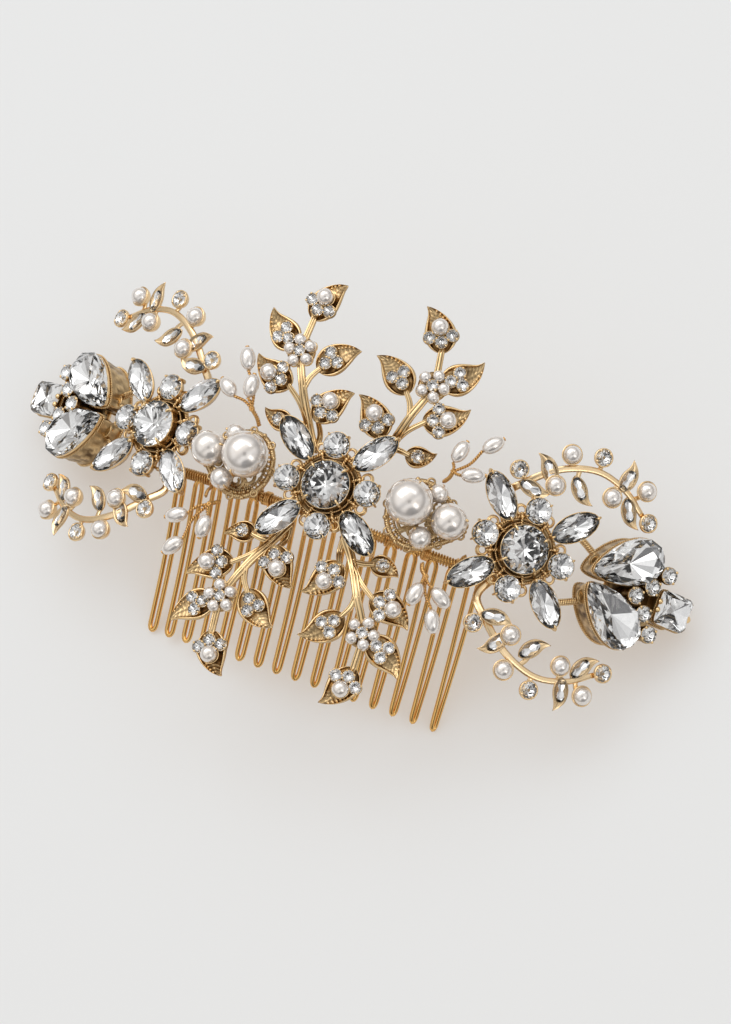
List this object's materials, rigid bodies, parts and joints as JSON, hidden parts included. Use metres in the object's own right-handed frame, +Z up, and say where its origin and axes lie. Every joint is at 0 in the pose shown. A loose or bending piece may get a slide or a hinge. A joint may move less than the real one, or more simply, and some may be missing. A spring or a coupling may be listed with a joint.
{
  "type": "decorative hair comb",
  "caption": "Arched jewelled hair comb: crystal flowers, leaf and vine sprays, pearls and pear-stone ends on a gold wire comb whose hairpin teeth slide into the hair.",
  "frame": {"origin": "the middle of the footprint at the lowest point, as the comb lies face up on its teeth tips and end clusters", "axes": "+X along the ornament's length, +Y away from the teeth across the ornament, +Z up out of the ornament's face; the arch's crown faces up"},
  "size_m": [0.149, 0.0846, 0.0412],
  "materials": {
    "antique_gold": "polished antique gold with dark recesses",
    "satin_gold": "satin pale gold",
    "comb_gold": "bright drawn gold wire",
    "foiled_crystal": "clear cut crystal, foil backed",
    "ivory_pearl": "ivory pearl lustre"
  },
  "bodies": {
    "root": {"centre_stone_centre": "foiled_crystal", "centre_stone_left": "foiled_crystal", "centre_stone_right": "foiled_crystal", "comb_wire": "comb_gold", "end_frame_left": "antique_gold", "end_frame_right": "antique_gold", "flower_plate_centre": "antique_gold", "flower_plate_left": "antique_gold", "flower_plate_right": "antique_gold", "large_pearl_left": "ivory_pearl", "large_pearl_right": "ivory_pearl", "lashing_wire": "comb_gold", "leaf_spray_lower_left": "antique_gold", "leaf_spray_lower_right": "antique_gold", "leaf_spray_upper_left": "antique_gold", "leaf_spray_upper_right": "antique_gold", "medium_pearl_left": "ivory_pearl", "medium_pearl_right": "ivory_pearl", "navette_centre_lower_left": "foiled_crystal", "navette_centre_lower_right": "foiled_crystal", "navette_centre_upper_left": "foiled_crystal", "navette_centre_upper_right": "foiled_crystal", "navette_left_lower_left": "foiled_crystal", "navette_left_lower_right": "foiled_crystal", "navette_left_upper_left": "foiled_crystal", "navette_left_upper_right": "foiled_crystal", "navette_right_lower_left": "foiled_crystal", "navette_right_lower_right": "foiled_crystal", "navette_right_upper_left": "foiled_crystal", "navette_right_upper_right": "foiled_crystal", "pear_stone_left_lower": "foiled_crystal", "pear_stone_left_upper": "foiled_crystal", "pear_stone_right_lower": "foiled_crystal", "pear_stone_right_upper": "foiled_crystal", "pearl_plaque_left": "antique_gold", "pearl_plaque_right": "antique_gold", "rice_pearls_left_lower": "ivory_pearl", "rice_pearls_left_upper": "ivory_pearl", "rice_pearls_right_lower": "ivory_pearl", "rice_pearls_right_upper": "ivory_pearl", "round_centre_left": "foiled_crystal", "round_centre_lower": "foiled_crystal", "round_centre_right": "foiled_crystal", "round_centre_upper": "foiled_crystal", "round_left_left": "foiled_crystal", "round_left_lower": "foiled_crystal", "round_left_right": "foiled_crystal", "round_left_upper": "foiled_crystal", "round_right_left": "foiled_crystal", "round_right_lower": "foiled_crystal", "round_right_right": "foiled_crystal", "round_right_upper": "foiled_crystal", "square_stone_left": "foiled_crystal", "square_stone_right": "foiled_crystal", "vine_left_lower": "satin_gold", "vine_left_upper": "satin_gold", "vine_right_lower": "satin_gold", "vine_right_upper": "satin_gold", "wired_pearls_left": "ivory_pearl", "wired_pearls_right": "ivory_pearl"}
  },
  "joints": []
}
